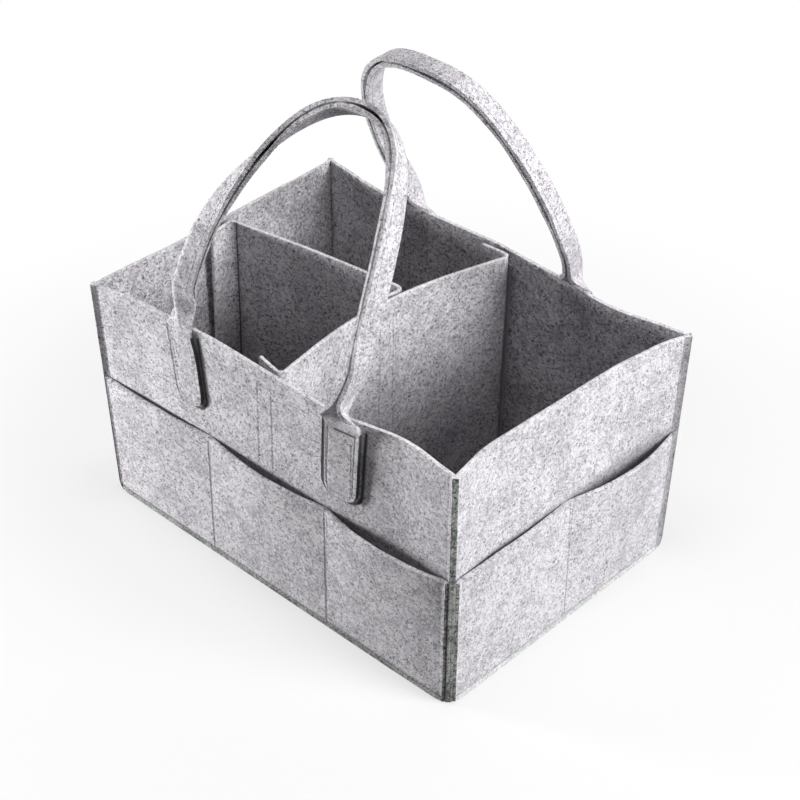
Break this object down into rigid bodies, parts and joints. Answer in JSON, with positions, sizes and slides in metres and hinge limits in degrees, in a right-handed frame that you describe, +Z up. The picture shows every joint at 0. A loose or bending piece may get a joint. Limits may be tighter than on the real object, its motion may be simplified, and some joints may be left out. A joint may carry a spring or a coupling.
{
  "type": "diaper caddy",
  "caption": "Open felt tote with outside pockets, swinging folded felt handles and lift-out dividers held by hook tape",
  "frame": {"origin": "on the resting surface, under the middle of the caddy", "axes": "+Z up, +X along the long side toward the undivided compartment's end wall, -Y toward the front long wall"},
  "size_m": [0.3499, 0.2464, 0.3478],
  "materials": {
    "felt": "stiff heather grey polyester felt, fuzzy and matt",
    "hook_tape": "woven nylon tape with fine hooks",
    "thread": "twisted polyester sewing thread"
  },
  "bodies": {
    "tub": {"base_panel": "felt", "front_wall": "felt", "back_wall": "felt", "right_end_wall": "felt", "left_end_wall": "felt", "front_pocket_strip": "felt", "back_pocket_strip": "felt", "right_end_pocket_strip": "felt", "left_end_pocket_strip": "felt", "front_base_seam": "thread", "back_base_seam": "thread", "right_end_base_seam": "thread", "left_end_base_seam": "thread", "front_pocket_seam_1": "thread", "front_pocket_seam_2": "thread", "back_pocket_seam_1": "thread", "back_pocket_seam_2": "thread", "right_end_pocket_seam_1": "thread", "left_end_pocket_seam_1": "thread", "front_left_corner_seam": "thread", "front_right_corner_seam": "thread", "back_right_corner_seam": "thread", "back_left_corner_seam": "thread", "front_hook_tape": "hook_tape", "back_hook_tape": "hook_tape", "left_end_hook_tape": "hook_tape", "front_hook_tape_seam": "thread", "back_hook_tape_seam": "thread", "left_end_hook_tape_seam": "thread", "front_handle_left_tab": "felt", "front_handle_right_tab": "felt", "back_handle_left_tab": "felt", "back_handle_right_tab": "felt", "front_handle_left_tab_seam": "thread", "front_handle_right_tab_seam": "thread", "back_handle_left_tab_seam": "thread", "back_handle_right_tab_seam": "thread"},
    "front_handle": {"front_handle_strap": "felt", "front_handle_strap_seam": "thread"},
    "back_handle": {"back_handle_strap": "felt", "back_handle_strap_seam": "thread"},
    "main_divider": {"main_divider": "felt", "main_divider_hook_tape": "hook_tape", "main_divider_hook_tape_seam": "thread", "main_divider_front_fold_seam": "thread", "main_divider_back_fold_seam": "thread"},
    "short_divider": {"short_divider": "felt"}
  },
  "joints": [
    {"name": "front_handle_swing", "type": "hinge", "parent": "tub", "child": "front_handle", "pos_m": [0, -0.11515, 0.1817], "axis": [1, 0, 0], "range_deg": [-8, 118]},
    {"name": "back_handle_swing", "type": "hinge", "parent": "tub", "child": "back_handle", "pos_m": [0, 0.11386, 0.1817], "axis": [-1, 0, 0], "range_deg": [-8, 118]},
    {"name": "main_divider_lift", "type": "slide", "parent": "tub", "child": "main_divider", "axis": [0, 0, 1], "range_m": [0, 0.133]},
    {"name": "short_divider_lift", "type": "slide", "parent": "tub", "child": "short_divider", "axis": [0, 0, 1], "range_m": [0, 0.11]}
  ]
}
